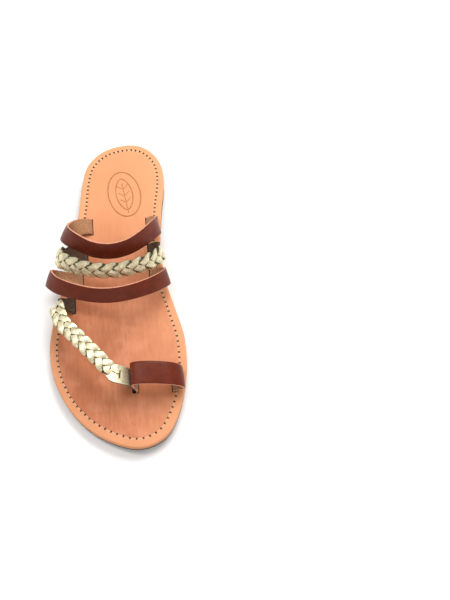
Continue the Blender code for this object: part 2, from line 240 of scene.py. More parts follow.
def insoleLeather():     # vegetable-tanned leather, mottled, paler at the pressed rim
    look = Finish("Insole leather", 0.5, specular=0.25)
    whole = look.place()
    streaky = look.place((1.0, 0.28, 1.0))
    cloud = look.ramp(look.noise(whole, 22, 4, 0.6), 0.35, 0.68)
    streak = look.ramp(look.noise(streaky, 160, 4, 0.6, 0.6), 0.35, 0.7)
    colour = look.mix(cloud, (0.50, 0.165, 0.067, 1), (0.63, 0.235, 0.105, 1))
    colour = look.mix(look.ramp(streak, 0, 1, 0, 0.5), colour, (0.40, 0.115, 0.045, 1))
    fine = look.ramp(look.noise(look.place((1.0, 0.1, 1.0)), 620, 3, 0.6), 0.42, 0.66, 0, 0.3)
    colour = look.mix(fine, colour, (0.34, 0.095, 0.035, 1))
    blotch = look.ramp(look.noise(whole, 60, 3, 0.55), 0.52, 0.75, 0, 0.55)
    colour = look.mix(blotch, colour, (0.70, 0.28, 0.155, 1))
    split = look.node("ShaderNodeSeparateXYZ", {"Vector": whole})
    heel = look.ramp(split.outputs["Y"], 0.0, 0.075)
    colour = look.mix(look.ramp(heel, 0, 1, 0, 0.72), colour, (0.78, 0.335, 0.148, 1))
    inner = look.ramp(split.outputs["X"], 0.005, 0.05, 0, 0.5)
    colour = look.mix(inner, colour, (0.78, 0.33, 0.155, 1))
    rim = look.node("ShaderNodeAttribute", attribute_name="rim").outputs["Fac"]
    colour = look.mix(look.ramp(rim, 0, 1, 0, 0.6), colour, (0.74, 0.34, 0.16, 1))
    pore = look.cells(whole, 1300)
    look.bump(look.ramp(pore, 0.05, 0.45), 0.06 * mm, 0.5)
    look.bump(look.noise(streaky, 420, 3), 0.12 * mm, 0.5)
    roughness = look.ramp(cloud, 0, 1, 0.56, 0.44)
    return look.finish(colour, roughness)


def edgeLeather():     # the cut edge of the sole, burnished, with fibres lying level
    look = Finish("Sole edge leather", 0.42, specular=0.5)
    level = look.place((1, 1, 5))
    fibre = look.ramp(look.noise(level, 420, 4, 0.65), 0.3, 0.7)
    colour = look.mix(fibre, (0.36, 0.125, 0.045, 1), (0.62, 0.27, 0.115, 1))
    patch = look.ramp(look.noise(look.place(), 35, 2), 0.4, 0.7, 0, 0.4)
    colour = look.mix(patch, colour, (0.30, 0.095, 0.035, 1))
    look.bump(fibre, 0.1 * mm, 0.6)
    return look.finish(colour)


def shadedCutLeather():     # inside a slot or a needle hole
    look = Finish("Cut leather in painted shade", 1.0, specular=0.02)
    fibre = look.ramp(look.noise(look.place(), 900, 3), 0.3, 0.7)
    # painted shade: the cut fibre is drawn nearly black, standing in for the shade deep inside slots,
    # pockets and needle holes
    colour = look.mix(fibre, (0.020, 0.007, 0.004, 1), (0.06, 0.02, 0.01, 1))
    look.bump(fibre, 0.1 * mm)
    return look.finish(colour)


def pressedLeather():     # leather darkened by a hot stamp
    look = Finish("Pressed leather", 0.6, specular=0.3)
    tone = look.ramp(look.noise(look.place(), 500, 3), 0.3, 0.7)
    colour = look.mix(tone, (0.40, 0.15, 0.055, 1), (0.56, 0.235, 0.095, 1))
    look.bump(tone, 0.06 * mm)
    return look.finish(colour)


def soleRubber():
    look = Finish("Sole rubber", 0.72, specular=0.35)
    grain = look.noise(look.place(), 900, 3)
    colour = look.mix(look.ramp(grain, 0.35, 0.65), (0.018, 0.014, 0.012, 1), (0.05, 0.038, 0.032, 1))
    look.bump(grain, 0.12 * mm)
    return look.finish(colour)


def brownLeather():     # dyed strap leather, smooth, with faint lines along the strap
    look = Finish("Brown strap leather", 0.36, specular=0.14)
    look.shader.inputs["Coat Weight"].default_value = 0.03
    look.shader.inputs["Coat Roughness"].default_value = 0.35
    along = look.place((0.22, 1.6, 1), "UVMap")
    cloud = look.ramp(look.noise(look.place(source="UVMap"), 1.4, 4, 0.6), 0.35, 0.7)
    lines = look.ramp(look.noise(along, 9, 3, 0.6), 0.4, 0.72)
    colour = look.mix(cloud, (0.115, 0.0165, 0.006, 1), (0.16, 0.026, 0.0095, 1))
    colour = look.mix(look.ramp(lines, 0, 1, 0, 0.35), colour, (0.075, 0.012, 0.006, 1))
    whole = look.place()
    look.bump(look.ramp(look.cells(whole, 1700), 0.05, 0.5), 0.05 * mm, 0.5)
    look.bump(look.noise(along, 24, 3), 0.08 * mm, 0.5)
    return look.finish(colour, look.ramp(cloud, 0, 1, 0.4, 0.31))


def fleshLeather(name, dark, light, depth=0.16 * mm):     # the fibrous back of a strap
    look = Finish(name, 0.92, specular=0.2)
    look.shader.inputs["Sheen Weight"].default_value = 0.25
    look.shader.inputs["Sheen Roughness"].default_value = 0.5
    fibres = look.place((0.5, 1, 1), "UVMap")
    nap = look.ramp(look.noise(fibres, 12, 5, 0.7, 0.8), 0.3, 0.7)
    colour = look.mix(nap, dark, light)
    look.bump(nap, depth)
    return look.finish(colour)


def rawEdge():     # undyed core of the strap leather
    look = Finish("Raw strap edge", 0.75, specular=0.3)
    fibre = look.ramp(look.noise(look.place(), 700, 4, 0.65), 0.3, 0.7)
    colour = look.mix(fibre, (0.42, 0.17, 0.10, 1), (0.74, 0.38, 0.25, 1))
    look.bump(fibre, 0.08 * mm)
    return look.finish(colour)


def goldFoil():     # foiled leather, crackled where it bends
    look = Finish("Gold foil", 0.36, metallic=0.62, specular=0.5)
    flat = look.place(source="UVMap")
    crease = look.cells(flat, 6.5, "DISTANCE_TO_EDGE")
    fine = look.cells(flat, 17, "DISTANCE_TO_EDGE")
    tone = look.ramp(look.noise(flat, 2.6, 4, 0.6), 0.35, 0.7)
    colour = look.mix(tone, (0.86, 0.74, 0.47, 1), (0.98, 0.92, 0.70, 1))
    green = look.ramp(look.noise(flat, 1.1, 3), 0.5, 0.72, 0, 0.45)
    colour = look.mix(green, colour, (0.68, 0.73, 0.50, 1))
    crack = look.ramp(look.sum(crease, look.sum(fine, 0.9, "MULTIPLY"), "MINIMUM"), 0.0, 0.055)
    worn = look.ramp(look.noise(flat, 5, 3), 0.45, 0.6)
    crack = look.sum(crack, worn, "MAXIMUM")
    colour = look.mix(crack, (0.30, 0.23, 0.10, 1), colour)
    # painted shade: where the attribute marks crevices between strands the foil is darkened to olive, then
    # near black; it also marks the stitched slit on the flat ends
    shadeAndSeam = look.node("ShaderNodeAttribute", attribute_name="shadeAndSeam").outputs["Fac"]
    shadeAndSeam = look.sum(shadeAndSeam, look.ramp(look.noise(flat, 7, 3), 0.35, 0.65, -0.08, 0.08))
    colour = look.mix(look.ramp(shadeAndSeam, 0.0, 0.4, 0, 0.5), colour, (0.46, 0.40, 0.20, 1))
    colour = look.mix(look.ramp(shadeAndSeam, 0.32, 0.6), colour, (0.040, 0.034, 0.012, 1))
    look.bump(look.ramp(crease, 0.0, 0.12), 0.06 * mm, 0.6)
    look.bump(look.noise(flat, 6, 3, 0.5), 0.12 * mm, 0.6)
    return look.finish(colour, look.ramp(tone, 0, 1, 0.44, 0.27))


def waxedThread():
    look = Finish("Waxed thread", 0.6, specular=0.4)
    strands = {"Vector": look.place(), "Scale": 900.0, "Distortion": 1.0}
    wave = look.node("ShaderNodeTexWave", strands, wave_type="BANDS", bands_direction="DIAGONAL")
    twist = wave.outputs["Fac"]
    colour = look.mix(twist, (0.55, 0.34, 0.18, 1), (0.84, 0.64, 0.42, 1))
    look.bump(twist, 0.06 * mm)
    return look.finish(colour)


looks = {
    "insole": insoleLeather(),
    "edge": edgeLeather(),
    "cut": shadedCutLeather(),
    "pressed": pressedLeather(),
    "rubber": soleRubber(),
    "brown": brownLeather(),
    "flesh": fleshLeather("Strap flesh side", (0.26, 0.115, 0.05, 1), (0.52, 0.26, 0.135, 1)),
    "rawEdge": rawEdge(),
    "gold": goldFoil(),
    # painted shade: the plaits' backs, brown where lit, are drawn near black like their shaded gaps
    "shadedPlaitFlesh": fleshLeather("Plait flesh side in painted shade", (0.03, 0.017, 0.009, 1), (0.12, 0.065, 0.034, 1)),
    # painted shade: the strands' cut edges, pale where lit, are drawn dark olive-brown as the crevice lines
    # between strands
    "paintedShadePlaitEdge": fleshLeather("Plait edge in painted shade", (0.035, 0.024, 0.01, 1), (0.10, 0.065, 0.028, 1), 0.05 * mm),
    "thread": waxedThread(),
}


def giveLooks(mesh, *names):
    mesh.materials.clear()
    for name in names:
        mesh.materials.append(looks[name])


print("materials made")


# sole

sole = {
    "edge": (     # the insole's edge from above, clockwise from the back of the heel, mm
        (16, 124), (30, 120.5), (40.5, 108.5), (43.6, 90), (39.8, 62), (37.6, 33), (39.5, 7), (45, -16.5),
        (50.5, -41.5), (50, -70.5), (43, -98.5), (31, -117.5), (10, -124), (-16, -113.5), (-35, -95),
        (-47, -71), (-51, -46.5), (-48, -23.5), (-40, 5.5), (-31, 37), (-24, 69), (-20.5, 91.5),
        (-15, 108.5), (-2, 120),
    ),
    "edgeSteps": 8,          # points made between two of those
    "riseFrom": 10 * mm,     # the heel starts to rise here
    "riseTo": 50 * mm,       # and is up here, at the front of the heel lift
    "springFrom": -90 * mm,  # the toe starts to lift here
    "insoleThick": 3.0 * mm,
    "midsoleThick": 3.4 * mm,
    "outsoleThick": 2.0 * mm,
    "bendStep": 1.6 * mm,
    "riseStep": 4 * mm,
}
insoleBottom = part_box("insole_fore")[0].z
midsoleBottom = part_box("midsole_fore")[0].z
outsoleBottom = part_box("outsole_fore")[0].z
insoleTop = insoleBottom + sole["insoleThick"]
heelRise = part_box("insole_rear")[1].z - insoleTop
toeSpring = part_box("insole_fore")[1].z - insoleTop


def soleRise(y):     # how far the sole is lifted at y, by the heel lift and by the toe spring
    if y < sole["springFrom"]:
        return toeSpring * ((y - sole["springFrom"]) / (cadLow.y - sole["springFrom"])) ** 2
    return heelRise * smoothStep(sole["riseFrom"], sole["riseTo"], y)


def stitchInset(y):     # the seam runs further in round the toe than round the heel
    return (5.4 + 1.4 * smoothStep(-75, -118, y / mm) - 0.7 * smoothStep(60, 112, y / mm)) * mm


def edgeRing(inset, stitchShare=0.0):
    # the sole's edge moved in by inset, and by a share of the seam's inset
    corners = [Vector((x * mm, y * mm)) for x, y in sole["edge"]]
    count, steps = len(corners), sole["edgeSteps"]
    run = []
    for i in range(count):
        near = [corners[(i + k) % count] for k in (-1, 0, 1, 2)]
        run += [smoothBetween(*near, step / steps) for step in range(steps)]
    moved = []
    for i, point in enumerate(run):
        along = (run[(i + 1) % len(run)] - run[i - 1]).normalized()
        depth = inset + stitchShare * stitchInset(point.y)
        moved.append(point + depth * Vector((along.y, -along.x)))
    return moved


def loftLayer(bottom, inset, profile):
    # a ring at the edge, extruded through the profile, and closed
    def ringAt(depth, share, height):
        return [Vector((p.x, p.y, bottom + height * mm)) for p in edgeRing(inset + depth * mm, share)]

    bm = bmesh.new()
    ring = [bm.verts.new(point) for point in ringAt(*profile[0])]
    loop = [bm.edges.new((ring[i - 1], ring[i])) for i in range(len(ring))]
    bmesh.ops.contextual_create(bm, geom=loop)
    for station in profile[1:]:
        made = bmesh.ops.extrude_edge_only(bm, edges=loop)["geom"]
        fresh = {item for item in made if isinstance(item, bmesh.types.BMVert)}
        ring = [next(e.other_vert(v) for e in v.link_edges if e.other_vert(v) in fresh) for v in ring]
        for vert, point in zip(ring, ringAt(*station)):
            vert.co = point
        loop = [item for item in made if isinstance(item, bmesh.types.BMEdge)]
    bmesh.ops.contextual_create(bm, geom=loop)
    bmesh.ops.recalc_face_normals(bm, faces=bm.faces)
    return bm


def followSole(piece):     # cuts a layer where it bends, and lifts it to the sole's height
    bm = bmesh.new()
    bm.from_mesh(piece.data)
    y = sole["riseFrom"]
    while y <= sole["riseTo"]:
        bisect(bm, (0, y, 0), (0, 1, 0))
        y += sole["riseStep"]
    y = sole["springFrom"]
    while y > cadLow.y:
        bisect(bm, (0, y, 0), (0, 1, 0))
        y -= sole["riseStep"]
    steps = round(2 * flexReach / sole["bendStep"])
    for step in range(steps + 1):
        bisect(bm, flexPoint + flexForward * (step / steps * 2 - 1) * flexReach, flexForward)
    bmesh.ops.triangulate(bm, faces=bm.faces)
    for vert in bm.verts:
        vert.co.z += soleRise(vert.co.y)
    bm.to_mesh(piece.data)
    bm.free()
    smoothShade(piece.data, 38)


def bendWithSole(piece):
    start = flexPoint - flexForward * flexReach
    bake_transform(piece, "rear", "forefoot", start=start, end=flexPoint + flexForward * flexReach)


def paintRim(piece):     # 1 at the edge outside the seam, 0 inside it
    edge = edgeRing(0)
    values = []
    for vert in piece.data.vertices:
        spot = vert.co.xy
        near = min((spot - point).length for point in edge)
        inset = stitchInset(spot.y)
        values.append(1 - smoothStep(inset - 0.6 * mm, inset + 0.8 * mm, near))
    rim = piece.data.attributes.new("rim", "FLOAT", "POINT")
    rim.data.foreach_set("value", values)


def boxCutter(name, low, high, slant=0.0, look=2):
    bm = bmesh.new()
    bmesh.ops.create_cube(bm, size=1.0)
    middle, size = (low + high) / 2, high - low
    bmesh.ops.scale(bm, vec=size, verts=bm.verts)
    bmesh.ops.translate(bm, vec=middle, verts=bm.verts)
    for vert in bm.verts:
        vert.co.y += slant * (vert.co.x - middle.x)
    for face in bm.faces:
        face.material_index = look
    return linkNew(name, meshFrom(bm, name))


# straps: their routes, shared with their slots

strapThick = 1.8 * mm
slotGap = 0.3 * mm
tailLength = 12 * mm
tailBend = 1.35 * mm
tailDepth = sole["insoleThick"] + slotGap + strapThick / 2

# slots are (x, y, way the tail turns, slant); arch stations are the strap's middle line, above the
# insole, and the way across it from its rear edge to its front edge; all in mm
straps = {
    "rear_band": {
        "width": 12.5, "body": "rear",
        "slots": ((-15, 54, 1, 0), (28.5, 52, -1, 0)),
        "arch": (
            ((-17, 54, 2.4), (0, -1, 0)),
            ((-23, 53, 4.2), (-0.2, -1, -0.1)),
            ((-30, 50, 7), (-0.45, -0.85, -0.3)),
            ((-34.5, 46, 13), (-0.5, -0.7, -0.45)),
            ((-32.5, 39, 21), (-0.4, -0.65, -0.6)),
            ((-25, 31, 27.5), (-0.2, -0.65, -0.7)),
            ((-13, 23, 31), (-0.05, -0.62, -0.78)),
            ((0, 20, 32), (0, -0.6, -0.8)),
            ((13, 22.5, 31), (0.05, -0.62, -0.78)),
            ((24, 30, 26.5), (0.15, -0.65, -0.7)),
            ((32, 39, 19), (0.25, -0.7, -0.6)),
            ((36, 46, 11), (0.3, -0.8, -0.5)),
            ((35.5, 50, 5.6), (0.15, -0.95, -0.15)),
            ((31, 52, 2.9), (0, -1, 0)),
        ),
    },
    "instep_plait": {
        "width": 13.5, "body": "rear",
        "slots": ((-20, 30.5, 1, 0), (28.5, 29.5, -1, 0)),
        "arch": (
            ((-22.5, 30, 2.6), (0, -1, 0)),
            ((-31, 30, 5), (-0.2, -1, -0.1)),
            ((-38, 29, 9), (-0.35, -0.85, -0.35)),
            ((-40, 25.5, 15.5), (-0.35, -0.7, -0.5)),
            ((-35.5, 18.5, 23), (-0.25, -0.65, -0.65)),
            ((-25, 11, 29.5), (-0.12, -0.62, -0.75)),
            ((-12, 5.5, 32.5), (0, -0.6, -0.8)),
            ((1, 4, 33), (0, -0.6, -0.8)),
            ((14, 5.5, 32), (0.05, -0.62, -0.78)),
            ((26, 10.5, 27.5), (0.12, -0.66, -0.7)),
            ((34.5, 17.5, 20), (0.2, -0.7, -0.6)),
            ((38, 24, 12), (0.25, -0.82, -0.45)),
            ((36.5, 28, 6), (0.12, -0.95, -0.2)),
            ((31, 29.5, 3), (0, -1, 0)),
        ),
    },
    "front_band": {
        "width": 12.5, "body": "rear",
        "slots": ((-24.5, 9.5, 1, 0), (28.5, 9.5, -1, 0)),
        "arch": (
            ((-27, 9.5, 2.4), (0, -1, 0)),
            ((-37, 11, 5), (-0.2, -1, -0.1)),
            ((-46.5, 11.5, 10), (-0.35, -0.85, -0.35)),
            ((-47.7, 8, 16.5), (-0.35, -0.75, -0.5)),
            ((-41.5, -0.5, 23.5), (-0.25, -0.68, -0.62)),
            ((-29, -8.3, 29), (-0.12, -0.64, -0.75)),
            ((-14, -13.5, 31), (0, -0.6, -0.8)),
            ((0, -15, 31.5), (0, -0.6, -0.8)),
            ((14, -13, 30.5), (0.05, -0.62, -0.78)),
            ((27, -8, 26.5), (0.12, -0.66, -0.7)),
            ((37, -1, 19.5), (0.2, -0.7, -0.6)),
            ((41, 5, 12), (0.25, -0.82, -0.45)),
            ((38, 8.5, 5.5), (0.12, -0.95, -0.2)),
            ((31.5, 9.5, 2.4), (0, -1, 0)),
        ),
    },
    "diagonal_plait": {
        "width": 13.8, "body": "forefoot",
        "slots": ((-31.5, -8, 1, flex["axis"][1] / flex["axis"][0]), (10.5, -73, -1, 0)),
        "arch": (
            ((-34, -8.5, 2.8), (0, -1, 0)),
            ((-41, -10, 5.5), (-0.35, -0.95, 0)),
            ((-43, -12.5, 10), (-0.8, -0.6, -0.1)),
            ((-42, -19.8, 13), (-0.86, -0.47, -0.08)),
            ((-38.5, -29, 16.2), (-0.83, -0.52, -0.1)),
            ((-31, -39, 20.5), (-0.78, -0.6, -0.15)),
            ((-22, -50.3, 23), (-0.76, -0.64, -0.05)),
            ((-12, -62.2, 23.5), (-0.72, -0.69, 0)),
            ((-6.5, -68.8, 22.8), (-0.5, -0.85, 0)),
            ((-1.5, -72.8, 22.2), (-0.25, -0.97, 0)),
            ((3.4, -73.8, 19.4), (-0.08, -1, 0)),
            ((7.3, -73.6, 13.6), (0, -1, 0)),
            ((9.8, -73, 6.4), (0, -1, 0)),
        ),
    },
    "toe_band": {
        "width": 17, "body": "forefoot",
        "slots": ((12.6, -73, 1, 0), (39.8, -74.5, -1, 0)),
        "arch": (
            ((12.3, -73, 6.4), (0, -1, 0)),
            ((10.4, -73, 13), (0, -1, 0)),
            ((10.6, -73, 18.4), (0, -1, -0.05)),
            ((17, -73.2, 20.6), (0, -1, -0.1)),
            ((28, -73.9, 20.2), (0.03, -1, -0.12)),
            ((39, -74.6, 17), (0.08, -1, -0.12)),
            ((45.6, -75, 11.5), (0.1, -1, -0.1)),
            ((46.8, -75, 6), (0.05, -1, 0)),
            ((43, -74.7, 3.1), (0, -1, 0)),
        ),
    },
}


def tailRoute(slot):     # a strap's end, from the tip of its tail up through its slot
    x, y, turn, slant = slot
    stations = [(turn * tailLength, -tailDepth), (turn * tailLength / 2, -tailDepth)]
    for step in range(5):
        angle = math.radians(90 * step / 4)
        out = turn * tailBend * (1 - math.sin(angle))
        stations.append((out, tailBend * (1 - math.cos(angle)) - tailDepth))
    stations.append((0, 0.4 * mm))
    return [(Vector((x * mm + out, y * mm + slant * out, z)), Vector((0, -1, 0))) for out, z in stations]


def strapRoute(strap, step):     # points of the middle line, with the way across, above a level insole
    first, last = tailRoute(strap["slots"][0]), tailRoute(strap["slots"][1])
    known = [first[-1]] + [(Vector(p) * mm, Vector(w).normalized()) for p, w in strap["arch"]] + [last[-1]]
    run = []
    for i in range(len(known) - 1):
        near = [known[max(0, i - 1)], known[i], known[i + 1], known[min(len(known) - 1, i + 2)]]
        count = max(2, round((near[2][0] - near[1][0]).length / step))
        for k in range(0 if i else 1, count):
            point = smoothBetween(*(n[0] for n in near), k / count)
            run.append((point, smoothBetween(*(n[1] for n in near), k / count).normalized()))
    squared = []
    for i, (point, across) in enumerate(run):
        along = (run[min(i + 1, len(run) - 1)][0] - run[max(i - 1, 0)][0]).normalized()
        squared.append((point, (across - across.dot(along) * along).normalized()))
    return first + squared + last[::-1], len(first), len(squared)


def lifted(point):     # from above a level insole to its place on the sole
    return Vector((point.x, point.y, point.z + insoleTop + soleRise(point.y)))


class Route:     # a strap's middle line read by the distance along it
    def __init__(self, strap, step=1.5 * mm):
        self.stations, self.tail, self.arch = strapRoute(strap, step)
        self.marks = [0.0]
        for (before, _), (after, _) in zip(self.stations, self.stations[1:]):
            self.marks.append(self.marks[-1] + (after - before).length)
        self.length = self.marks[-1]
        self.slotMarks = (self.marks[self.tail - 1], self.marks[self.tail + self.arch])

    def at(self, distance):     # the point, the way along, and the way across from front to rear
        distance = min(max(distance, 0.0), self.length)
        low, high = 0, len(self.marks) - 1
        while high - low > 1:
            middle = (low + high) // 2
            if self.marks[middle] <= distance:
                low = middle
            else:
                high = middle
        share = (distance - self.marks[low]) / (self.marks[high] - self.marks[low])
        start, end = self.stations[low], self.stations[high]
        before = self.stations[max(0, low - 1)][0]
        after = self.stations[min(len(self.stations) - 1, high + 1)][0]
        along = (start[0] - before) * (1 - share) + (after - end[0]) * share + (end[0] - start[0])
        along = along.normalized()
        across = -(start[1] * (1 - share) + end[1] * share)
        out = along.cross(across).normalized()
        return start[0].lerp(end[0], share), out.cross(along).normalized(), out


routes = {name: Route(strap) for name, strap in straps.items()}


def addStrip(bm, rows, columns, place, measure, shadeAndSeamAt=None):
    # a flat grid laid out by place(row share, column from -1 to 1), with its pattern laid by measure
    uvLayer = bm.loops.layers.uv["UVMap"]
    made = bmesh.ops.create_grid(bm, x_segments=rows, y_segments=columns, size=0.5)["verts"]
    spots = {vert: (vert.co.x + 0.5, vert.co.y * 2) for vert in made}
    for face in {face for vert in made for face in vert.link_faces}:
        for loop in face.loops:
            loop[uvLayer].uv = measure(*spots[loop.vert])
    for vert, (row, column) in spots.items():
        vert.co = place(row, column)
        if shadeAndSeamAt:
            vert[bm.verts.layers.float["shadeAndSeam"]] = shadeAndSeamAt(row, column)


def thicken(piece, thickness, rounding, back=1, rim=2):
    wall = piece.modifiers.new("Leather", "SOLIDIFY")
    wall.thickness = thickness
    wall.offset = 0.0
    wall.material_offset = back
    wall.material_offset_rim = rim
    edge = piece.modifiers.new("Rounded edges", "BEVEL")
    edge.width = rounding
    edge.segments = 2
    edge.profile = 0.5
    edge.limit_method = "ANGLE"
    edge.angle_limit = math.radians(50)


# insole, midsole and outsole

slotWidth = strapThick + 2 * slotGap


def slotBoxes(reach, bottom, top, ease=0.0):
    # boxes for the slots, or for the pockets that the tails turn into under them
    boxes = []
    plaitX, bandX = straps["diagonal_plait"]["slots"][1][0] * mm, straps["toe_band"]["slots"][0][0] * mm
    for name, strap in straps.items():
        half = strap["width"] * mm / 2 + slotGap + ease
        for x, y, turn, slant in strap["slots"]:
            if (name, x) == ("diagonal_plait", 10.5):
                continue     # shares the toe band's slot
            left = right = slotWidth / 2 + ease
            if (name, x) == ("toe_band", 12.6):
                left += bandX - plaitX + reach
            if turn > 0:
                right += reach
            else:
                left += reach
            low = Vector((x * mm - left, y * mm - half, bottom))
            high = Vector((x * mm + right, y * mm + half, top))
            boxes.append(boxCutter(f"slot_{name}_{turn}", low, high, slant if reach else 0.0))
    return boxes


def seamPoints():     # even places of the needle holes, closer together at the heel
    line = edgeRing(0, 1.0)
    spacing = lambda y: mm * (
        3.45 + 0.9 * smoothStep(40, -50, y / mm) + 0.7 * smoothStep(-85, -122, y / mm)
    )
    marks = [0.0]
    for i in range(len(line)):
        after = line[(i + 1) % len(line)]
        marks.append(marks[-1] + (after - line[i]).length / spacing(line[i].y))
    count = round(marks[-1])
    points, i = [], 0
    for hole in range(count):
        mark = hole * marks[-1] / count
        while marks[i + 1] < mark:
            i += 1
        share = (mark - marks[i]) / (marks[i + 1] - marks[i])
        points.append(line[i].lerp(line[(i + 1) % len(line)], share))
    return points


seam = {
    "holeRadius": 0.86 * mm,
    "holeDepth": 2.3 * mm,
    "threadRadius": 0.36 * mm,
    "threadRise": 0.12 * mm,     # top of a stitch above the groove
    "grooveDepth": 0.22 * mm,
}
holes = seamPoints()


def holeCutter():
    bm = bmesh.new()
    top = insoleTop + 1 * mm
    radius, depth = seam["holeRadius"], seam["holeDepth"] + 1 * mm
    for point in holes:
        made = bmesh.ops.create_cone(
            bm, cap_ends=True, segments=10, radius1=radius * 0.8, radius2=radius * 1.15, depth=depth
        )["verts"]
        bmesh.ops.translate(bm, vec=(point.x, point.y, top - depth / 2), verts=made)
    for face in bm.faces:
        face.material_index = 2
    return linkNew("needleHoles", meshFrom(bm, "needleHoles"))


stamp = {     # a plain oval with a leaf, pressed into the heel
    "centre": Vector((12, 80.5)) * mm,
    "turn": math.radians(9),
    "oval": (12.5 * mm, 19.5 * mm),
    "leaf": (6.4 * mm, 13.8 * mm),
    "lineRadius": 0.62 * mm,
    "sunk": 0.2 * mm,     # how far the middle of the pressed line is above the leather
    "veins": 3,
}


def stampCutters():
    turn, centre = stamp["turn"], stamp["centre"]

    def onHeel(x, y):
        return Vector((
            centre.x + x * math.cos(turn) - y * math.sin(turn),
            centre.y + x * math.sin(turn) + y * math.cos(turn),
            insoleTop + stamp["sunk"],
        ))

    ovalX, ovalY = stamp["oval"]
    leafX, leafY = stamp["leaf"]
    angles = [k / 48 * math.tau for k in range(48)]
    oval = [onHeel(ovalX * math.cos(angle), ovalY * math.sin(angle)) for angle in angles]
    angles = [k / 12 * math.pi for k in range(1, 12)]
    side = [(leafX * math.sin(angle) ** 1.3, leafY * math.cos(angle)) for angle in angles]
    leaf = [onHeel(0, leafY)] + [onHeel(x, y) for x, y in side] + [onHeel(0, -leafY)]
    leaf += [onHeel(-x, y) for x, y in side[::-1]]
    rib = [onHeel(0, leafY * 0.7), onHeel(0, -leafY * 1.2)]
    cutters = [
        tubesAlong("stampOval", [oval], stamp["lineRadius"], closed=True, sides=2, look=3),
        tubesAlong("stampLeaf", [leaf], stamp["lineRadius"] * 0.9, closed=True, sides=2, look=3),
        tubesAlong("stampRib", [rib], stamp["lineRadius"] * 0.8, sides=2, look=3),
    ]
    veins = []
    for k in range(stamp["veins"]):
        root = leafY * (0.35 - 0.42 * k)
        for way in (-1, 1):
            veins.append([onHeel(way * 0.7 * mm, root), onHeel(way * leafX * 0.68, root + 3 * mm)])
    cutters.append(tubesAlong("stampVeins", veins, stamp["lineRadius"] * 0.7, sides=2, look=3))
    return cutters


def makeInsole():
    thick = sole["insoleThick"] / mm
    profile = (
        (9, 0, 0), (0.6, 0, 0), (0.16, 0, 0.14), (0, 0, 0.5), (-0.06, 0, thick / 2), (0, 0, thick - 0.8),
        (0.14, 0, thick - 0.36), (0.42, 0, thick - 0.1), (0.9, 0, thick), (1.6, 0, thick),
        (-1.1, 1, thick), (-0.6, 1, thick - 0.06), (0, 1, thick - seam["grooveDepth"] / mm),
        (0.6, 1, thick - 0.06), (1.1, 1, thick), (2.6, 1, thick),
    )
    bm = loftLayer(insoleBottom, 0, profile)
    middle = insoleBottom + sole["insoleThick"] / 2
    for face in bm.faces:
        onTop = face.normal.z > 0.5 and face.calc_center_median().z > middle
        face.material_index = 0 if onTop else 1
    piece = linkNew("insole", meshFrom(bm, "insole"))
    giveLooks(piece.data, "insole", "edge", "cut", "pressed")
    top = insoleTop + 1 * mm
    slots = slotBoxes(0.0, insoleBottom - 1 * mm, top, ease=0.3 * mm)
    cutAway(piece, slots + [holeCutter()] + stampCutters())
    followSole(piece)
    paintRim(piece)
    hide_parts("insole_rear", "insole_fore")
    bendWithSole(piece)
    return piece


def makeMidsole():
    thick = sole["midsoleThick"] / mm
    profile = (
        (2.4, 1, 0), (0.9, 1, 0), (0.55, 1, 0.75), (-0.55, 1, 0.75), (-0.9, 1, 0),
        (0.6, 0, 0), (0.12, 0, 0.12), (0, 0, 0.5),
        (-0.05, 0, thick / 2), (0, 0, thick - 0.5), (0.12, 0, thick - 0.12), (0.6, 0, thick),
        (9, 0, thick),
    )
    bm = loftLayer(midsoleBottom, 0.25 * mm, profile)
    piece = linkNew("midsole", meshFrom(bm, "midsole"))
    giveLooks(piece.data, "edge", "edge", "cut")
    floor = insoleTop - tailDepth - strapThick / 2 - slotGap
    cutAway(piece, slotBoxes(tailLength + slotGap, floor, insoleBottom + 1 * mm))
    followSole(piece)
    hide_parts("midsole_rear", "midsole_fore")
    bendWithSole(piece)
    return piece


def makeOutsole():
    thick = sole["outsoleThick"] / mm
    profile = (
        (9, 0, 0), (0.5, 0, 0), (0.12, 0, 0.1), (0, 0, 0.4), (0, 0, thick - 0.4), (0.12, 0, thick - 0.1),
        (0.5, 0, thick), (9, 0, thick),
    )
    bm = loftLayer(outsoleBottom, 0.4 * mm, profile)
    piece = linkNew("outsole", meshFrom(bm, "outsole"))
    giveLooks(piece.data, "rubber")
    followSole(piece)
    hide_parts("outsole_rear", "outsole_fore")
    bendWithSole(piece)
    return piece


def makeHeelLift():
    low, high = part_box("heel_lift")
    thick = (high.z - low.z) / mm
    profile = (
        (9, 0, 0), (0.7, 0, 0), (0.2, 0, 0.15), (0.05, 0, 0.6),
        (0, 0, thick - 0.6), (0.12, 0, thick - 0.15), (0.6, 0, thick), (9, 0, thick),
    )
    bm = loftLayer(low.z, 0.4 * mm, profile)
    everything = bm.verts[:] + bm.edges[:] + bm.faces[:]
    cut = bmesh.ops.bisect_plane(
        bm, geom=everything, plane_co=(0, low.y, 0), plane_no=(0, -1, 0), clear_outer=True, dist=0.001 * mm
    )["geom_cut"]
    bmesh.ops.holes_fill(bm, edges=[item for item in cut if isinstance(item, bmesh.types.BMEdge)])
    bmesh.ops.recalc_face_normals(bm, faces=bm.faces)
    bmesh.ops.triangulate(bm, faces=bm.faces)
    piece = linkNew("heelLift", meshFrom(bm, "heelLift"))
    giveLooks(piece.data, "rubber")
    smoothShade(piece.data, 38)
    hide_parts("heel_lift")
    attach(piece, "rear")
    return piece


makeInsole()
makeMidsole()
makeOutsole()
makeHeelLift()
print("sole made")


# stitching

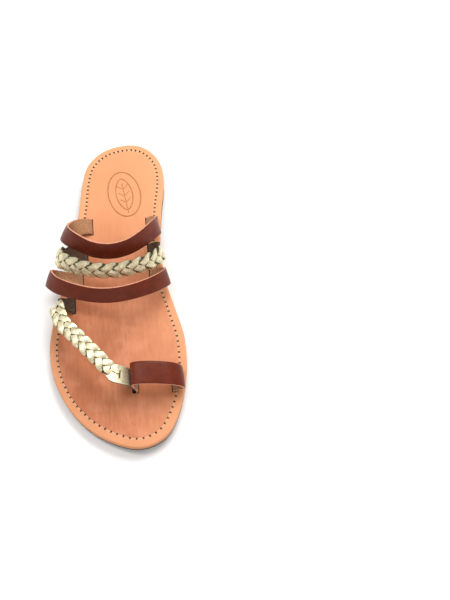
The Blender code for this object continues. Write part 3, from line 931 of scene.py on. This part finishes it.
def makeStitches(name, base, up, nodes):     # one short thread from each needle hole to the next
    radius, reach = seam["threadRadius"], seam["holeRadius"] - 0.25 * mm
    runs = []
    for i, start in enumerate(holes):
        end = holes[(i + 1) % len(holes)]
        way = (end - start).normalized()
        first, last = start + way * reach, end - way * reach
        rise = seam["threadRise"] - radius
        stations = (
            (first, -1.5 * mm), (first, -0.5 * mm), (first.lerp(last, 0.12), rise - 0.14 * mm),
            (first.lerp(last, 0.32), rise), (first.lerp(last, 0.68), rise),
            (first.lerp(last, 0.88), rise - 0.14 * mm), (last, -0.5 * mm), (last, -1.5 * mm),
        )
        runs.append([Vector((p.x, p.y, base + up * h + soleRise(p.y))) for p, h in stations])
    piece = tubesAlong(name, runs, radius)
    giveLooks(piece.data, "thread")
    smoothShade(piece.data, 60)
    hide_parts(*nodes)
    bendWithSole(piece)
    return piece


needleHeight = insoleTop - seam["grooveDepth"] + 0.1 * mm
makeStitches("needleThread", needleHeight, 1, ("needle_thread_rear", "needle_thread_fore"))
makeStitches("bobbinThread", midsoleBottom + 0.6 * mm, -1, ("bobbin_thread_rear", "bobbin_thread_fore"))
print("stitches made:", len(holes))


# plain bands

def makeBand(node, name):
    strap, route = straps[node], routes[node]
    width = strap["width"] * mm
    marks = route.marks

    def place(row, column):
        mark = marks[round(row * (len(marks) - 1))]
        point, across, out = route.at(mark)
        free = smoothStep(0, 6 * mm, min(mark - route.slotMarks[0], route.slotMarks[1] - mark))
        crown = 0.28 * mm * (1 - column * column) * free
        return lifted(point + across * column * width / 2 + out * crown)

    def measure(row, column):     # 10 mm of strap is one unit of the pattern
        return marks[round(row * (len(marks) - 1))] / (10 * mm), column * width / 2 / (10 * mm)

    bm = bmesh.new()
    bm.loops.layers.uv.new("UVMap")
    addStrip(bm, len(marks) - 1, 8, place, measure)
    piece = linkNew(name, meshFrom(bm, name))
    giveLooks(piece.data, "brown", "flesh", "rawEdge")
    piece.data.shade_smooth()
    thicken(piece, strapThick, 0.32 * mm)
    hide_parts(node)
    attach(piece, strap["body"])
    return piece


makeBand("rear_band", "rearBand")
makeBand("front_band", "frontBand")
makeBand("toe_band", "toeBand")
print("bands made")


# plaits: three strands that cross over and under, between flat ends

plaits = {
    "instep_plait": {
        "name": "instepPlait", "lobe": 10.0, "phase": 0.0, "flat": (14 * mm, 14 * mm),
        "width": 13.0 * mm, "strand": 6.4 * mm,
    },
    "diagonal_plait": {
        "name": "diagonalPlait", "lobe": 8.7, "phase": 0.0, "flat": (2.5 * mm, 28 * mm),
        "width": 12.0 * mm, "strand": 5.9 * mm,
    },
    "strandThick": 1.2 * mm,
    "lift": 0.8 * mm,       # middle of a strand above and below the plait's middle where two cross
    "crown": 0.55 * mm,
    "join": 5 * mm,          # length over which the strands come out of the flat end
    "step": 1.1 * mm,
}


def makePlait(node):
    strap, route, plait = straps[node], routes[node], plaits[node]
    width = strap["width"] * mm
    swing = (plait["width"] - plait["strand"]) / 2
    start = route.slotMarks[0] + plait["flat"][0]
    end = route.slotMarks[1] - plait["flat"][1]
    turn = math.tau / (3 * plait["lobe"] * mm)

    bm = bmesh.new()
    bm.loops.layers.uv.new("UVMap")
    bm.verts.layers.float.new("shadeAndSeam")

    def overAt(strand, mark):     # 1 where the strand lies on another, -1 where it runs under
        wave = math.sin(2 * (turn * (mark - start) + plait["phase"] + strand * math.tau / 3))
        wave = max(-1.0, min(1.0, wave * 1.35))
        return wave * (1.5 - 0.5 * wave * wave)

    def strandAt(strand, mark):     # the strand's middle: across the plait, and out from it
        angle = turn * (mark - start) + plait["phase"] + strand * math.tau / 3
        spread = smoothStep(0, plaits["join"], min(mark - start, end - mark))
        side = swing * math.sin(angle) * spread + (strand - 1) * (width / 3) * (1 - spread) * 0.75
        return side, plaits["lift"] * overAt(strand, mark) * spread - 0.9 * mm * (1 - spread)

    for strand in range(3):
        rows = round((end - start) / plaits["step"])

        def middle(mark):
            point, across, out = route.at(mark)
            side, height = strandAt(strand, mark)
            return point + across * side + out * height, out

        def place(row, column):
            mark = start + row * (end - start)
            here, out = middle(mark)
            ahead, behind = middle(mark + 0.3 * mm)[0], middle(mark - 0.3 * mm)[0]
            way = (ahead - behind).normalized()
            across = out.cross(way).normalized()
            crown = plaits["crown"] * (1 - column * column)
            return lifted(here + across * column * plait["strand"] / 2 + way.cross(across) * crown)

        def measure(row, column):
            return row * (end - start) * 1.25 / (10 * mm), (column * 2.8 + strand * 20) / 10

        def shadeAndSeamAt(row, column):     # painted shade: dark at the strand's inner side, where it runs under, and where the strands go into a flat end
            mark = start + row * (end - start)
            swung = math.sin(turn * (mark - start) + plait["phase"] + strand * math.tau / 3)
            under = smoothStep(0.0, 0.8, -overAt(strand, mark)) * (1 - smoothStep(0.7, 0.97, abs(swung)))
            spread = smoothStep(0, plaits["join"], min(mark - start, end - mark))
            side = abs(column) ** 3 * (1 - 0.75 * smoothStep(0.5, 0.95, column * swung))
            return max(side, under * spread, 1 - smoothStep(0.15, 0.55, spread))

        addStrip(bm, rows, 8, place, measure, shadeAndSeamAt)

    for first, last in ((0.0, start + 3.5 * mm), (end - 3.5 * mm, route.length)):     # flat ends
        marks = [m for m in route.marks if first < m < last]
        marks = [first] + marks + [last]
        if first > 0:
            close = [first + k * 0.9 * mm for k in range(1, 14)]
            marks = [first] + close + [m for m in marks if m > first + 12.5 * mm]

        def flatPlace(row, column):
            mark = marks[round(row * (len(marks) - 1))]
            point, across, out = route.at(mark)
            joined = mark - first if first > 0 else last - mark
            reach = width / 2 * (1 - 0.3 * (1 - smoothStep(-1 * mm, 5 * mm, joined)))
            return lifted(point + across * column * reach + out * 0.1 * mm)

        def seamAt(row, column):     # the stitched slit in the middle of the flat end
            mark = marks[round(row * (len(marks) - 1))]
            joined = (mark - first if first > 0 else last - mark) / mm
            stem = 1.2 < joined < 8.4 and abs(column) < 0.06
            head = 7.4 < joined < 8.4 and abs(column) < 0.42
            return 1.0 if stem or head else 0.0

        def flatMeasure(row, column):
            return marks[round(row * (len(marks) - 1))] / (10 * mm), column * width / 2 / (10 * mm)

        addStrip(bm, len(marks) - 1, 20, flatPlace, flatMeasure, seamAt)

    piece = linkNew(plait["name"], meshFrom(bm, plait["name"]))
    giveLooks(piece.data, "gold", "shadedPlaitFlesh", "paintedShadePlaitEdge")
    piece.data.shade_smooth()
    thicken(piece, plaits["strandThick"], 0.3 * mm)
    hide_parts(node)
    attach(piece, strap["body"])
    return piece


makePlait("instep_plait")
makePlait("diagonal_plait")
print("plaits made")


# floor, light and camera

def makeFloor():
    bm = bmesh.new()
    bmesh.ops.create_grid(bm, x_segments=1, y_segments=1, size=3.0)
    piece = linkNew("floor", meshFrom(bm, "floor"))
    look = Finish("Pale floor", 0.6, specular=0.1)
    tone = look.ramp(look.noise(look.place(), 3, 2), 0.3, 0.7)
    piece.data.materials.append(look.finish(look.mix(tone, (0.88, 0.89, 0.88, 1), (0.92, 0.92, 0.915, 1))))


def addLight(name, place, target, size, power, colour):
    data = bpy.data.lights.new(name, "AREA")
    data.shape = "RECTANGLE"
    data.size, data.size_y = size
    data.energy = power
    data.color = colour
    lamp = linkNew(name, data)
    lamp.location = place
    lamp.rotation_euler = (Vector(target) - Vector(place)).to_track_quat("-Z", "Y").to_euler()
    return lamp


def makeStudio():
    world = bpy.data.worlds.new("Studio")
    bpy.context.scene.world = world
    world.use_nodes = True
    sky = world.node_tree.nodes["Background"]
    sky.inputs["Color"].default_value = (1.0, 1.0, 1.0, 1)
    sky.inputs["Strength"].default_value = 0.62
    addLight("key", (0.45, 0.75, 1.1), (0, 0, 0), (0.9, 0.7), 16, (1.0, 0.98, 0.95))
    addLight("fill", (-0.42, 0.2, 1.15), (0, 0, 0.02), (0.16, 0.8), 4.5, (0.96, 0.98, 1.0))
    addLight("card", (0, -1.3, 0.32), (0, 0, 0.03), (1.4, 0.6), 2.4, (1.0, 1.0, 0.98))
    bpy.context.scene.view_settings.view_transform = "Standard"


view = {
    "place": (0.05271, -0.38293, 0.927),
    "tilt": math.radians(22),
    "turn": math.radians(-4.75),
    "lens": 78,
}


def makeCamera():
    data = bpy.data.cameras.new("camera")
    data.lens = view["lens"]
    data.clip_end = 20
    camera = linkNew("camera", data)
    camera.location = view["place"]
    camera.rotation_euler = (view["tilt"], 0, view["turn"])
    bpy.context.scene.camera = camera


makeFloor()
makeStudio()
makeCamera()
